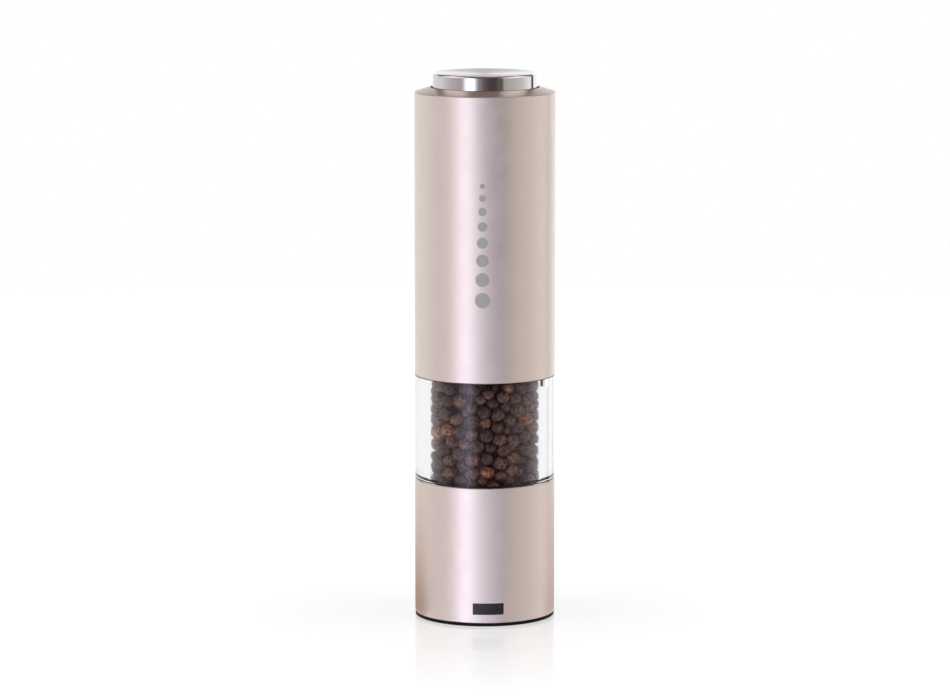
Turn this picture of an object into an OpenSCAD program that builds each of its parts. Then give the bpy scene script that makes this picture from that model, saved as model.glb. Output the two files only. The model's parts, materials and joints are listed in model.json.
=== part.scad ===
// Battery pepper mill: a lower grinding unit with a clear reservoir, a lift-off power unit
// with motor, planetary gearbox and cells, a pull-off outer sleeve and a push button.
// Millimetres. +Z is up, the origin is on the axis at the underside of the foot ring, and -Y is the front.

/* [Body] */
// Outer diameter of the housing, the reservoir and the sleeve
body_d = 50; // [49:0.5:52]
// Wall of the painted shells
shell_t = 1.0; // [0.8:0.1:1.1]
// Height of the foot ring that shows under the lower housing
foot_h = 1.1; // [0.8:0.1:1.5]
// Height of the lower housing's upper edge
housing_top = 49.6; // [49:0.2:52]
// Height of the sleeve's lower edge
window_top = 86.9; // [86:0.1:87]
// Height of the sleeve's upper outer edge
sleeve_top = 188.0; // [187.8:0.2:192]
// Rise of the sleeve's sloping top, from its outer edge to its hole
bevel_h = 1.6; // [1:0.2:2.4]

/* [Button] */
// Diameter of the push button
button_d = 37.3; // [34:0.1:38]
// Height of the button's upper edge
button_top = 194.7; // [194:0.1:198]
// Travel of the button
button_travel = 2.5; // [1.5:0.1:2.6]

/* [Reservoir] */
// Inner diameter of the clear reservoir
reservoir_bore = 39.2; // [38.6:0.1:39.4]
// Height of the reservoir's neck, inside the sleeve
neck_h = 4.6; // [4.6:0.1:5]

/* [Gearbox] */
// Gear module
gear_m = 0.46; // [0.44:0.01:0.46]
// Teeth on each sun gear
sun_teeth = 9; // [9]
// Teeth on each planet gear
planet_teeth = 27; // [27]
// Pressure angle of the teeth
pressure_angle = 25; // [22:1:27]

/* [Grinder] */
// Width of the square drive shaft
shaft_w = 4.0; // [3.6:0.1:4]
// Grinding teeth on the rotor burr
rotor_ribs = 20; // [12:1:24]
// Grinding teeth on the stator burr
stator_ribs = 24; // [12:1:28]

/* [Hidden] */
$fn = 96;
body_r = body_d / 2;
shell_r = body_r - shell_t;           // inner radius of the painted shells
fit = 0.1;                            // gap of parts that are clipped or glued together
run = 0.05;                           // radial gap of a running fit
edge = 0.25;                          // chamfer on the outer edges

// Lower unit
foot_r = body_r - 0.15;
foot_bore_r = 21.8;
foot_spigot_top = 5;                  // top of the ring's part inside the housing
retainer_z = 7.5;                     // underside of the burr retainer
frame_z = 10;                         // underside of the grinder frame and of the stator burr
stator_r = 16.1;
stator_h = 17;
stator_throat_r = 13;
frame_throat_r = 13.2;
screw_circle_r = 19.8;
gasket_rs = [20.5, 23.3];
gasket_z = housing_top - 1;
spider_z = [28, 32];
bush_r = 4.0;
journal_r = 2.9;
journal_z = [27.4, 36.4];
shaft_collar_z = 26.8;                // underside of the shaft's collar, where the spring bears
thread_z = [3.2, 9.4];
shaft_top = 90;
clip_z = [34.3, 35.0];
clip_groove_r = 2.3;
bore_r = reservoir_bore / 2;
neck_r = 23.1;
neck_top = window_top + neck_h;
frame_top = housing_top - 0.3;        // an air gap is left under the clear wall
shoulder_z = window_top - 0.08;       // the collar stands on it, and the sleeve stays clear
key_r = 21.2;                         // radius at which the torque keys stand
key_angles = [-20, 160];
key_tip_z = 84;

// Rotor burr and its carrier
rotor_z = [9.5, 13.5, 21.5];
rotor_rs = [11.2, 10.3, 6.8];
carrier_r = 5.2;
carrier_z = [8.3, 22];
carrier_foot_r = 7.6;
rib_depth = 0.9;

// Grind knob
knob_r = 9;
knob_z = [2.4, 8.2];
thread_r = 1.9;
insert_r = 3.2;
insert_z = [knob_z[0] + 1.6, knob_z[1]];
scallops_z = knob_z[1] - 1.4;          // top of the gripped part; a hub stands above it

// Power unit, from the plug that closes the reservoir up to the cap under the button
plug_r = bore_r - 0.4;
plug_z = 86;
flange_z = [neck_top, neck_top + 2];
grip_z = [flange_z[0] + 0.5, flange_z[0] + 1.5];
collar_bore_r = neck_r + 0.25;
bush_out_r = 6.6;
seal_z = [88.6, 89.8];
case_z = [87.4, 103.4];
case_r = 17;
case_floor = 1.5;
boss_r = 2.2;                         // bosses of the screws that hold the gearbox together
boss_circle_r = 18.3;
boss_z = 95;
cover_t = 1.5;
motor_z = [case_z[1] + cover_t, case_z[1] + cover_t + 24];
motor_r = 12;
motor_flat = 9.5;                     // half the width across the motor's flats
motor_screw_x = 8;
motor_boss_r = 3;
terminal_x = 5.5;
end_cap_h = 2;
terminal_top = motor_z[1] + 3.6;
holder_z = [134, 182.6];
holder_floor = 1.6;
cap_t = 1.6;
holder_r = 22.6;
core_r = 9.8;                         // bore of the battery holder's core
cell_r = 5.15;
cell_circle_r = 16.4;
cell_h = 43.3;
nub_h = 1.0;
contact_t = 0.4;
board_z = 172;
board_t = 1.6;
cap_screw_circle_r = 17.8;
screw_r = 1;

// Button and sleeve
button_r = button_d / 2;
skirt_z = holder_z[1] + cap_t + 2.8;   // clear of the holder's cap when pressed
hole_r = button_r + 0.75;
stem_r = 4.0;
steel_t = 0.7;
plate_z = [button_top - 3.2, button_top - 1.2];
cap_rim_r = 0.9;                      // rounding of the cap's upper edge
disc_z = [holder_z[1] - 4, holder_z[1] - 3.4];

// Planetary gears: ring, sun and planet teeth, and the radius of the planets' circle
ring_teeth = sun_teeth + 2 * planet_teeth;
planet_circle_r = gear_m * (sun_teeth + planet_teeth) / 2;
addendum = 0.75 * gear_m;
dedendum = 1.0 * gear_m;
backlash = 0.05;                      // taken off each side of a tooth at the pitch circle
pin_r = 1.0;
output_disc_z = [89.1, 90.9];
output_gear_z = [91.1, 96.1];
input_disc_z = [96.6, 98.2];
input_gear_z = [98.4, 102.6];
coupler_r = 5.0;
coupler_z = 84.6;
disc_r = 13.2;

// ---------- shared shapes ----------

// A tube about Z from z[0] to z[1].
module tube(r_out, r_in, z) {
    translate([0, 0, z[0]])
        difference() {
            cylinder(r = r_out, h = z[1] - z[0]);
            translate([0, 0, -1]) cylinder(r = r_in, h = z[1] - z[0] + 2);
        }
}

// A round bar about Z from z[0] to z[1].
module bar(r, z) {
    translate([0, 0, z[0]]) cylinder(r = r, h = z[1] - z[0]);
}

// A square bar about Z from z[0] to z[1].
module square_bar(w, z) {
    translate([-w / 2, -w / 2, z[0]]) cube([w, w, z[1] - z[0]]);
}

// Copies of the children, n times around Z at radius r.
module polar(n, r, start = 0) {
    for (i = [0 : n - 1]) rotate([0, 0, start + i * 360 / n]) translate([r, 0, 0]) children();
}

// A pan-head screw with its head down: the head stands below z, the shank above.
module screw_up(r, head_r, head_h, length, z) {
    bar(head_r, [z - head_h, z]);
    bar(r, [z, z + length]);
}

// A closed tube around points that run mainly upward, with a round ring in the plane given by
// two directions at each point.
module sweep(centres, sides_a, sides_b, wire_r, sides) {
    n = len(centres);
    points = [for (k = [0 : n - 1], s = [0 : sides - 1])
        centres[k] + wire_r * (cos(s * 360 / sides) * sides_a[k] + sin(s * 360 / sides) * sides_b[k])];
    wall = [for (k = [0 : n - 2], s = [0 : sides - 1])
        let (a = k * sides + s, b = k * sides + (s + 1) % sides)
        each [[a, a + sides, b], [b, a + sides, b + sides]]];
    first = [for (s = [1 : sides - 2]) [0, s, s + 1]];
    end = (n - 1) * sides;
    last = [for (s = [1 : sides - 2]) [end, end + s + 1, end + s]];
    polyhedron(points = points, faces = concat(wall, first, last), convexity = 8);
}

// A compression spring of radius r from z[0] to z[1], its wire's outside touching both heights.
module coil(r, wire_r, turns, z, steps_per_turn = 14, sides = 6) {
    n = round(turns * steps_per_turn);
    low = z[0] + wire_r;
    rise = z[1] - z[0] - 2 * wire_r;
    angles = [for (k = [0 : n]) 360 * turns * k / n];
    sweep([for (k = [0 : n]) [r * cos(angles[k]), r * sin(angles[k]), low + rise * k / n]],
        [for (a = angles) [0, 0, 1]], [for (a = angles) [cos(a), sin(a), 0]], wire_r, sides);
}

// ---------- involute gears ----------

function involute(a) = tan(a) * 180 / PI - a;
// Half the angle that a tooth takes up at radius r; base is the base circle's radius.
function half_tooth(teeth, r, pitch_r, base, thinning) =
    90 / teeth - thinning / pitch_r * 180 / PI + involute(pressure_angle)
        - involute(r <= base ? 0 : acos(base / r));

// Outline of a gear whose first tooth points along +X.
module gear_outline(teeth, inner, outer, thinning) {
    pitch_r = gear_m * teeth / 2;
    base = pitch_r * cos(pressure_angle);
    low = pitch_r - inner;
    high = pitch_r + outer;
    radii = [low, low + 0.3 * (high - low), low + 0.65 * (high - low), high];
    flank = [for (r = radii) [r, half_tooth(teeth, r, pitch_r, base, thinning)]];
    polygon([for (t = [0 : teeth - 1])
        let (at = t * 360 / teeth)
        each concat(
            [for (f = flank) f[0] * [cos(at - f[1]), sin(at - f[1])]],
            [for (k = [3 : -1 : 0]) flank[k][0] * [cos(at + flank[k][1]), sin(at + flank[k][1])]])]);
}

module gear(teeth, z) {
    translate([0, 0, z[0]])
        linear_extrude(height = z[1] - z[0]) gear_outline(teeth, dedendum, addendum, backlash);
}

// A planet with a tooth in the ring's gap and a gap over the sun's tooth, both on its radial line.
module planet(index, z) {
    rotate([0, 0, 120 * index]) translate([planet_circle_r, 0, 0])
        difference() {
            gear(planet_teeth, z);
            bar(pin_r + run, [z[0] - 1, z[1] + 1]);
            for (face = [z[0] - 1, z[1] - 0.5])
                translate([0, 0, face]) difference() {
                    cylinder(r = 4.6, h = 1.5);
                    translate([0, 0, -1]) cylinder(r = 2.2, h = 3.5);
                }
        }
}

// ---------- lower unit ----------

module foot_ring() {
    color("#17171a") {
        tube(foot_r, foot_bore_r, [0, foot_h]);
        tube(shell_r - fit, foot_bore_r, [foot_h, foot_spigot_top]);
    }
}

// A painted tube with its outer edges broken.
module lower_housing() {
    color("#d9c6c2") rotate_extrude()
        polygon([[shell_r, foot_h], [body_r - edge, foot_h], [body_r, foot_h + edge],
            [body_r, housing_top - edge], [body_r - edge, housing_top], [shell_r, housing_top]]);
}

// Flange, funnel, throat and burr seat in one moulding, with a spider that holds the bushing.
module grinder_frame() {
    flange_under = frame_top - 2;
    foot_flange_z = frame_z + 2;
    seat_r = 17.9;
    screw_boss_top = 19;
    spigot_r = shell_r - fit;
    color("#1f1f22") difference() {
        union() {
            rotate_extrude()
                polygon([[bore_r, frame_top], [spigot_r, frame_top],
                    [spigot_r, frame_top - 6], [spigot_r - 1.3, frame_top - 6],
                    [spigot_r - 1.3, flange_under], [20.4, flange_under], [14.9, 32],
                    [seat_r, 28.6], [seat_r, foot_flange_z], [spigot_r, foot_flange_z], [spigot_r, frame_z],
                    [stator_r + fit, frame_z], [stator_r + fit, frame_z + stator_h],
                    [frame_throat_r, frame_z + stator_h], [frame_throat_r, 33]]);
            polar(3, screw_circle_r, 30) bar(2.4, [foot_flange_z, screw_boss_top]);
            tube(5.6, bush_r, spider_z);
            for (a = [90, 210, 330])
                rotate([0, 0, a]) translate([bush_r + 0.7, -1.2, spider_z[0]])
                    cube([frame_throat_r + 1 - bush_r, 2.4, spider_z[1] - spider_z[0]]);
        }
        tube(gasket_rs[1], gasket_rs[0], [gasket_z, housing_top + 1]);
        polar(3, screw_circle_r, 30)
            bar(screw_r + run, [0, screw_boss_top - 1]);
    }
}

// Radial bars, as many as there are ribs, reaching out to radius r.
module rib_bars(count, width, r, z) {
    translate([0, 0, z[0]]) linear_extrude(height = z[1] - z[0])
        for (i = [0 : count / 2 - 1])
            rotate(i * 360 / count) square([2 * r, width], center = true);
}

// Conical burr ring: narrow below, where it meets the rotor, and wide at the throat.
module stator_burr() {
    z = [frame_z, frame_z + 3.8, frame_z + stator_h];
    rs = [11.89, 10.75, stator_throat_r];
    color("#f1eee6") difference() {
        bar(stator_r, [z[0], z[2]]);
        rotate_extrude() polygon([[0, z[0] - 1], [rs[0], z[0] - 1], [rs[1], z[1]],
            [rs[2], z[2]], [rs[2], z[2] + 1], [0, z[2] + 1]]);
        intersection() {
            rib_bars(stator_ribs, 1.2, 16, [z[0] - 1, z[2] + 1]);
            rotate_extrude() polygon([[0, z[0] - 1], [rs[0] + 0.46, z[0] - 1], [rs[1] + 0.5, z[1]],
                [rs[2] + rib_depth, z[2]], [rs[2] + rib_depth, z[2] + 1], [0, z[2] + 1]]);
        }
    }
}

module burr_retainer() {
    color("#2a2a2e") difference() {
        tube(23, 12.6, [retainer_z, frame_z]);
        polar(3, screw_circle_r, 30) bar(screw_r + 0.2, [0, frame_z + 1]);
    }
}

module retainer_screws() {
    color("silver") polar(3, screw_circle_r, 30)
        difference() {
            screw_up(screw_r, 1.9, 1.4, 8, retainer_z);
            for (a = [0, 90])
                rotate([0, 0, a]) translate([-1.2, -0.25, retainer_z - 2]) cube([2.4, 0.5, 1.3]);
        }
}

module shaft_bushing() {
    color("#b5894a") {
        tube(bush_r, journal_r + run, [27.5, 34.2]);
        tube(5.0, bush_r, [spider_z[1], spider_z[1] + 0.8]);
    }
}

module reservoir_gasket() {
    color("#101012") tube(gasket_rs[1], gasket_rs[0], [gasket_z, housing_top]);
}

// Thick clear tube; its neck carries two slots for the power unit's torque keys.
module pepper_reservoir() {
    color([0.93, 0.94, 0.96, 0.35]) difference() {
        rotate_extrude()
            polygon([[bore_r, housing_top], [body_r - edge, housing_top],
                [body_r, housing_top + edge], [body_r, shoulder_z], [neck_r, shoulder_z],
                [neck_r, neck_top - edge], [neck_r - edge, neck_top], [bore_r, neck_top]]);
        for (a = key_angles)
            rotate([0, 0, a]) translate([key_r - 1, -0.8, key_tip_z - 0.3])
                cube([2, 1.6, neck_top - key_tip_z + 2]);
    }
}

// ---------- drive shaft, rotor and grind knob ----------

// Threaded end, square for the rotor, collar and journal at the bushing, square for the coupling.
module drive_shaft() {
    color("#c9ccd0") difference() {
        union() {
            bar(thread_r, thread_z);
            square_bar(shaft_w, [thread_z[1], journal_z[0]]);
            bar(5.2, [shaft_collar_z, journal_z[0]]);
            bar(journal_r, journal_z);
            square_bar(shaft_w, [journal_z[1], shaft_top]);
        }
        tube(6, clip_groove_r, clip_z);
    }
}

module shaft_clip() {
    color("#8d9094") difference() {
        tube(4.4, clip_groove_r, clip_z);
        translate([0, -1.6, clip_z[0] - 1]) cube([6, 3.2, 3]);
    }
}

module burr_spring() {
    color("#b9bcc1") coil(3.95, 0.4, 3.5, [carrier_z[1], shaft_collar_z]);
}

module rotor_carrier() {
    color("#26262a") difference() {
        union() {
            bar(carrier_r, carrier_z);
            bar(carrier_foot_r, [carrier_z[0], rotor_z[0]]);
        }
        square_bar(shaft_w + 0.1, [carrier_z[0] - 1, carrier_z[1] + 1]);
    }
}

module rotor_burr() {
    color("#f4f1ea") difference() {
        union() {
            rotate_extrude() polygon([[0, rotor_z[0]], [rotor_rs[0] - rib_depth, rotor_z[0]],
                [rotor_rs[1] - rib_depth, rotor_z[1]], [rotor_rs[2] - rib_depth, rotor_z[2]],
                [0, rotor_z[2]]]);
            intersection() {
                rib_bars(rotor_ribs, 1.7, 16, [rotor_z[0], rotor_z[2]]);
                rotate_extrude() polygon([[0, rotor_z[0]], [rotor_rs[0], rotor_z[0]],
                    [rotor_rs[1], rotor_z[1]], [rotor_rs[2], rotor_z[2]], [0, rotor_z[2]]]);
            }
        }
        bar(carrier_r, [rotor_z[0] - 1, rotor_z[2] + 1]);
    }
}

// Round knob with finger scallops; its brass insert runs on the shaft's end.
module grind_knob() {
    color("#1b1b1e") difference() {
        union() {
            bar(knob_r - 0.5, [knob_z[0], knob_z[0] + 0.5]);
            bar(knob_r, [knob_z[0] + 0.5, scallops_z]);
            bar(6.6, [scallops_z, knob_z[1]]);
        }
        bar(insert_r, [insert_z[0], insert_z[1] + 1]);
        bar(thread_r + fit, [0, knob_z[1]]);
        polar(12, knob_r + 0.9) bar(1.5, [0, scallops_z]);
    }
}

module knob_insert() {
    color("#b5894a") tube(insert_r, thread_r + run, insert_z);
}

// ---------- power unit ----------

// Closes the reservoir, seats on its neck and stops turning with two keys.
module chassis_plug() {
    color("#1f1f22") difference() {
        union() {
            bar(plug_r, [plug_z, flange_z[0]]);
            bar(neck_r, flange_z);
            for (a = key_angles)
                rotate([0, 0, a]) translate([key_r - 0.7, -0.6, key_tip_z])
                    cube([1.4, 1.2, flange_z[0] - key_tip_z + 0.5]);
        }
        bar(case_r + fit, [case_z[0], flange_z[1] + 1]);
        bar(bush_out_r, [plug_z - 1, case_z[0] + 1]);
        tube(plug_r + 1, plug_r - 0.7, seal_z);
        tube(neck_r + 1, neck_r - 0.8, grip_z);
    }
}

module plug_seal() {
    color("#0f0f11") translate([0, 0, (seal_z[0] + seal_z[1]) / 2])
        rotate_extrude() translate([plug_r - 0.2, 0]) circle(r = 0.5);
}

// Silicone ring that holds the sleeve by its collar.
module grip_ring() {
    color("#0f0f11") tube(collar_bore_r - run, neck_r - 0.8, grip_z);
}

module output_bush() {
    color("#b5894a") tube(bush_out_r, coupler_r + run, [plug_z, case_z[0] + case_floor]);
}

// Gearbox case whose bore is the ring gear of both stages.
module gearbox_case() {
    color("#e9e5da") difference() {
        union() {
            bar(case_r, case_z);
            polar(3, boss_circle_r, 60) bar(boss_r, [boss_z, case_z[1]]);
        }
        translate([0, 0, case_z[0] + case_floor]) linear_extrude(height = 20)
            gear_outline(ring_teeth, addendum, dedendum, -backlash);
        bar(bush_out_r, [case_z[0] - 1, case_z[0] + case_floor + 1]);
        polar(3, boss_circle_r, 60) bar(0.85, [boss_z + 1, case_z[1] + 1]);
    }
}

module gearbox_cover() {
    color("#c9ccd0") difference() {
        union() {
            bar(case_r, [case_z[1], motor_z[0]]);
            polar(3, boss_circle_r, 60) bar(boss_r, [case_z[1], motor_z[0]]);
        }
        bar(motor_boss_r + 0.1, [case_z[1] - 1, motor_z[0] + 1]);
        polar(3, boss_circle_r, 60) bar(0.95, [case_z[1] - 1, motor_z[0] + 1]);
        for (x = [-motor_screw_x, motor_screw_x]) translate([x, 0, 0]) {
            bar(1.6, [case_z[1] - 1, case_z[1] + 0.8]);
            bar(0.85, [case_z[1], motor_z[0] + 1]);
        }
    }
}

module gearbox_screws() {
    color("silver") polar(3, boss_circle_r, 60)
        translate([0, 0, motor_z[0]]) {
            cylinder(r = 1.7, h = 1.2);
            translate([0, 0, -6.5]) cylinder(r = 0.8, h = 6.5);
        }
}

module motor_screws() {
    color("silver") for (x = [-motor_screw_x, motor_screw_x]) translate([x, 0, 0]) {
        bar(1.5, [case_z[1], case_z[1] + 0.8]);
        bar(0.8, [case_z[1] + 0.8, motor_z[0] + 0.7]);
    }
}

// A round section with two flats, as the motor's can has.
module flatted(r, flat, z) {
    intersection() {
        bar(r, z);
        translate([-r - 1, -flat, z[0]]) cube([2 * r + 2, 2 * flat, z[1] - z[0]]);
    }
}

module motor_can() {
    color("#b9bcc1") difference() {
        union() {
            flatted(motor_r, motor_flat, motor_z);
            bar(motor_boss_r, [motor_z[0] - 1.2, motor_z[0]]);
        }
        flatted(motor_r - 0.8, motor_flat - 0.8, [motor_z[0] + 0.8, motor_z[1] + 1]);
        bar(1 + run, [motor_z[0] - 2, motor_z[0] + 2]);
        for (x = [-motor_screw_x, motor_screw_x]) translate([x, 0, 0])
            bar(0.8, [motor_z[0] - 1, motor_z[0] + 2]);
    }
}

module motor_magnets() {
    color("#3c3c40") intersection() {
        tube(motor_r - 0.8, 9.0, [motor_z[0] + 2.6, motor_z[1] - 5]);
        for (x = [6.6, -motor_r]) translate([x, -7.5, motor_z[0]]) cube([motor_r - 6.6, 15, 30]);
    }
}

module motor_end_cap() {
    z = [motor_z[1], motor_z[1] + end_cap_h];
    color("#f0f0ee") difference() {
        union() {
            flatted(motor_r, motor_flat, z);
            bar(motor_boss_r, [z[0], z[1] + 0.8]);
        }
        bar(1 + run, [z[0] - 1, z[1] + 2]);
        for (x = [-terminal_x, terminal_x]) translate([x - 0.3, -1.2, z[0] - 1]) cube([0.6, 2.4, 5]);
    }
}

// Terminals with the brushes that run on the commutator.
module motor_terminals() {
    color("#c9a25c") for (side = [0, 180]) rotate([0, 0, side]) {
        translate([terminal_x - 0.25, -1.1, motor_z[1] - 2])
            cube([0.5, 2.2, terminal_top - motor_z[1] + 2]);
        translate([2.75, -0.5, motor_z[1] - 3]) cube([3, 1, 1.4]);
    }
}

// Tube with three openings between the plug's flange and the battery holder; ribs hold the case.
module inner_housing() {
    z = [flange_z[1], holder_z[0]];
    color("#242428") difference() {
        union() {
            tube(holder_r, 21, z);
            for (a = [0, 120, 240]) rotate([0, 0, a])
                translate([case_r + fit, -1, z[0]]) cube([21.5 - case_r, 2, 12]);
        }
        for (a = [60, 180, 300]) rotate([0, 0, a])
            translate([15, -7, z[0] + 14]) cube([15, 14, 20]);
    }
}

// Core with six open bays around it, for cells that stand upright.
module battery_holder() {
    bay_r = cell_r + 0.25;
    color("#242428") difference() {
        union() {
            bar(holder_r, [holder_z[0], holder_z[0] + holder_floor]);
            bar(21.4, [holder_z[0], holder_z[1]]);
        }
        polar(6, cell_circle_r) {
            bar(bay_r, [holder_z[0] + holder_floor, holder_z[1] + 1]);
            translate([0, -bay_r + 0.5, holder_z[0] + holder_floor])
                cube([10, 2 * bay_r - 1, 60]);
        }
        bar(core_r, [board_z, holder_z[1] + 1]);
        bar(7.5, [holder_z[0] - 1, board_z + 1]);
        polar(3, cap_screw_circle_r, 30) bar(0.85, [holder_z[1] - 10, holder_z[1] + 1]);
        contact_set();
    }
}

// Cells stand nub up and nub down by turns, with the spring at the flat end.
function nub_up(i) = i % 2 == 0;
cells_z = [holder_z[0] + holder_floor + contact_t, holder_z[1] - contact_t];
spring_h = cells_z[1] - cells_z[0] - cell_h - nub_h;

module battery_cells() {
    for (i = [0 : 5]) rotate([0, 0, 60 * i]) translate([cell_circle_r, 0, 0]) {
        base = nub_up(i) ? cells_z[0] + spring_h : cells_z[0] + nub_h;
        color("#7e868c") bar(cell_r, [base, base + cell_h]);
        color("silver") bar(1.9, nub_up(i) ? [base + cell_h, cells_z[1]] : [cells_z[0], base]);
    }
}

module cell_springs() {
    color("#c9ccd0") for (i = [0 : 5]) rotate([0, 0, 60 * i]) translate([cell_circle_r, 0, 0])
        coil(3.0, 0.25, 2, nub_up(i) ? [cells_z[0], cells_z[0] + spring_h]
            : [cells_z[1] - spring_h, cells_z[1]], 12, 5);
}

// Plates over or under all six cells, with bars that join the given cells to their next ones.
module contact_plates(joined, z) {
    translate([0, 0, z]) linear_extrude(height = contact_t) {
        polar(6, cell_circle_r) circle(r = 4.2);
        for (i = joined) rotate(60 * i + 30) translate([cell_circle_r * cos(30) - 1.5, -cell_circle_r / 2])
            square([3, cell_circle_r]);
    }
}

// The cells run in series: bars join pairs below, and the other pairs above.
module contact_set() {
    contact_plates([0, 2, 4], holder_z[0] + holder_floor);
    contact_plates([1, 3], holder_z[1] - contact_t);
}

module cell_contacts() { color("#d4d0c4") contact_set(); }

// Cap of the battery holder, with the tube that guides the button's stem.
module holder_cap() {
    z = [holder_z[1], holder_z[1] + cap_t];
    color("#1f1f22") difference() {
        union() {
            bar(holder_r, z);
            bar(5.6, [z[0], z[1] + 2.6]);
        }
        bar(stem_r + 0.15, [z[0] - 1, z[1] + 4]);
        polar(3, cap_screw_circle_r, 30) {
            bar(1.0, [z[0] - 1, z[1] + 1]);
            bar(1.4, [z[1] - 0.5, z[1] + 1]);
        }
    }
}

module holder_screws() {
    color("silver") polar(3, cap_screw_circle_r, 30)
        translate([0, 0, holder_z[1] + cap_t - 0.5]) {
            cylinder(r = 1.3, h = 0.5);
            translate([0, 0, -8]) cylinder(r = 0.8, h = 8);
        }
}

module switch_board() {
    color("#2f6b3f") difference() {
        bar(core_r - fit, [board_z, board_z + board_t]);
        for (x = [-6.4, 6.4]) translate([x, 0, 0]) bar(0.9, [board_z - 1, board_z + 3]);
    }
}

// Two bent blades that the button's contact disc bridges.
module switch_blades() {
    color("#c9a25c") for (side = [0, 180]) rotate([0, 0, side])
        translate([0, -1.5, board_z + board_t]) {
            translate([3.2, 0, 2.0]) cube([2.0, 3, 0.3]);
            translate([4.9, 0, 0]) cube([0.3, 3, 2.3]);
            translate([4.9, 0, 0]) cube([3.0, 3, 0.3]);
        }
}

// A lead from a motor terminal up the holder's core to the board, bowed outward in the core.
module lead(side) {
    z = [terminal_top, board_z + board_t];
    steps = 30;
    share = [for (k = [0 : steps]) k / steps];
    sweep([for (t = share) [side * (terminal_x + 0.9 * t - 0.8 * sin(180 * t)), 1.5 * sin(180 * t) * side,
            z[0] + (z[1] - z[0]) * t]],
        [for (t = share) [0, 1, 0]], [for (t = share) [1, 0, 0]], 0.7, 8);
}

module lead_red() { color("#b3201c") lead(1); }
module lead_black() { color("#141416") lead(-1); }

module button_spring() {
    color("#c9ccd0") coil(7.4, 0.45, 4.5, [holder_z[1] + cap_t, plate_z[0]], 14, 6);
}

// ---------- armature ----------

module motor_shaft() {
    color("#c9ccd0") bar(1, [input_gear_z[0], motor_z[1] + end_cap_h + 0.6]);
}

// Three-pole core with its windings.
module motor_armature() {
    z = [motor_z[0] + 3.2, motor_z[1] - 6];
    color("#9a6a3a") difference() {
        union() {
            bar(3, z);
            for (a = [0, 120, 240]) rotate([0, 0, a]) {
                translate([0, -1.2, z[0]]) cube([7.6, 2.4, z[1] - z[0]]);
                translate([2.5, -2.6, z[0] + 0.6]) cube([3.8, 5.2, z[1] - z[0] - 1.2]);
                intersection() {
                    tube(8.5, 7.2, z);
                    translate([0, -6.2, z[0]]) cube([9, 12.4, z[1] - z[0]]);
                }
            }
        }
        bar(1, [z[0] - 1, z[1] + 1]);
    }
}

module commutator() {
    z = [motor_z[1] - 5.6, motor_z[1] - 0.6];
    color("#b87a4a") difference() {
        tube(2.6, 1, z);
        for (a = [0, 120, 240]) rotate([0, 0, a]) translate([1.9, -0.2, z[0] + 1]) cube([2, 0.4, 6]);
    }
}

module sun_pinion() {
    color("#c9a25c") difference() {
        gear(sun_teeth, [input_gear_z[0] + 0.2, input_gear_z[1] + 0.4]);
        bar(1, [input_gear_z[0] - 1, input_gear_z[1] + 2]);
    }
}

// ---------- planetary stages: 1 is the input, at the motor, and 2 is the output ----------

module planet_gear_1a() { color("#efe9d8") planet(0, input_gear_z); }
module planet_gear_1b() { color("#efe9d8") planet(1, input_gear_z); }
module planet_gear_1c() { color("#efe9d8") planet(2, input_gear_z); }
module planet_gear_2a() { color("#efe9d8") planet(0, output_gear_z); }
module planet_gear_2b() { color("#efe9d8") planet(1, output_gear_z); }
module planet_gear_2c() { color("#efe9d8") planet(2, output_gear_z); }

// A carrier's disc, drilled for the three pins.
module carrier_disc(z) {
    difference() {
        bar(disc_r, z);
        polar(3, planet_circle_r) bar(pin_r, [z[0] - 1, z[1] + 1]);
    }
}

// The input carrier, in one piece with the output stage's sun.
module input_carrier() {
    color("#d8d2c2") {
        carrier_disc(input_disc_z);
        gear(sun_teeth, [output_gear_z[0] + 0.2, input_disc_z[0]]);
    }
}

module input_pins() {
    color("silver") polar(3, planet_circle_r) bar(pin_r, [input_disc_z[0], input_gear_z[1] + 0.3]);
}

// The output carrier with the square socket that drives the shaft.
module output_carrier() {
    color("#d8d2c2") difference() {
        union() {
            carrier_disc(output_disc_z);
            bar(coupler_r, [coupler_z, output_disc_z[0]]);
        }
        square_bar(shaft_w + 0.2, [coupler_z - 1, shaft_top + 0.2]);
    }
}

module output_pins() {
    color("silver") polar(3, planet_circle_r) bar(pin_r, [output_disc_z[0], output_gear_z[1] + 0.3]);
}

// ---------- sleeve and button ----------

// Painted tube with a sloping top and the button's hole.
module outer_sleeve() {
    color("#d9c6c2") rotate_extrude()
        polygon([[shell_r, window_top], [body_r - edge, window_top], [body_r, window_top + edge],
            [body_r, sleeve_top - edge], [body_r - edge, sleeve_top],
            [hole_r, sleeve_top + bevel_h], [hole_r, sleeve_under(hole_r)],
            [shell_r, sleeve_under(shell_r)]]);
}

// Plastic collar inside the sleeve's foot, which slides on the reservoir's neck.
module sleeve_collar() {
    color("#1f1f22") tube(shell_r, collar_bore_r, [shoulder_z, window_top + 13]);
}

function sleeve_under(r) = sleeve_top + bevel_h * (body_r - r) / (body_r - hole_r) - shell_t;

// Black ring under the sleeve's top, which lines the button's hole.
module sleeve_guide() {
    foot = sleeve_top - 3.2;
    color("#17171a") rotate_extrude()
        polygon([[hole_r, foot], [hole_r + 1.2, foot], [hole_r + 1.2, sleeve_under(hole_r + 1.2) - 1.2],
            [shell_r - 1.2, sleeve_under(shell_r - 1.2) - 1.2], [shell_r - 1.2, foot], [shell_r, foot],
            [shell_r, sleeve_under(shell_r)], [hole_r, sleeve_under(hole_r)]]);
}

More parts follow.
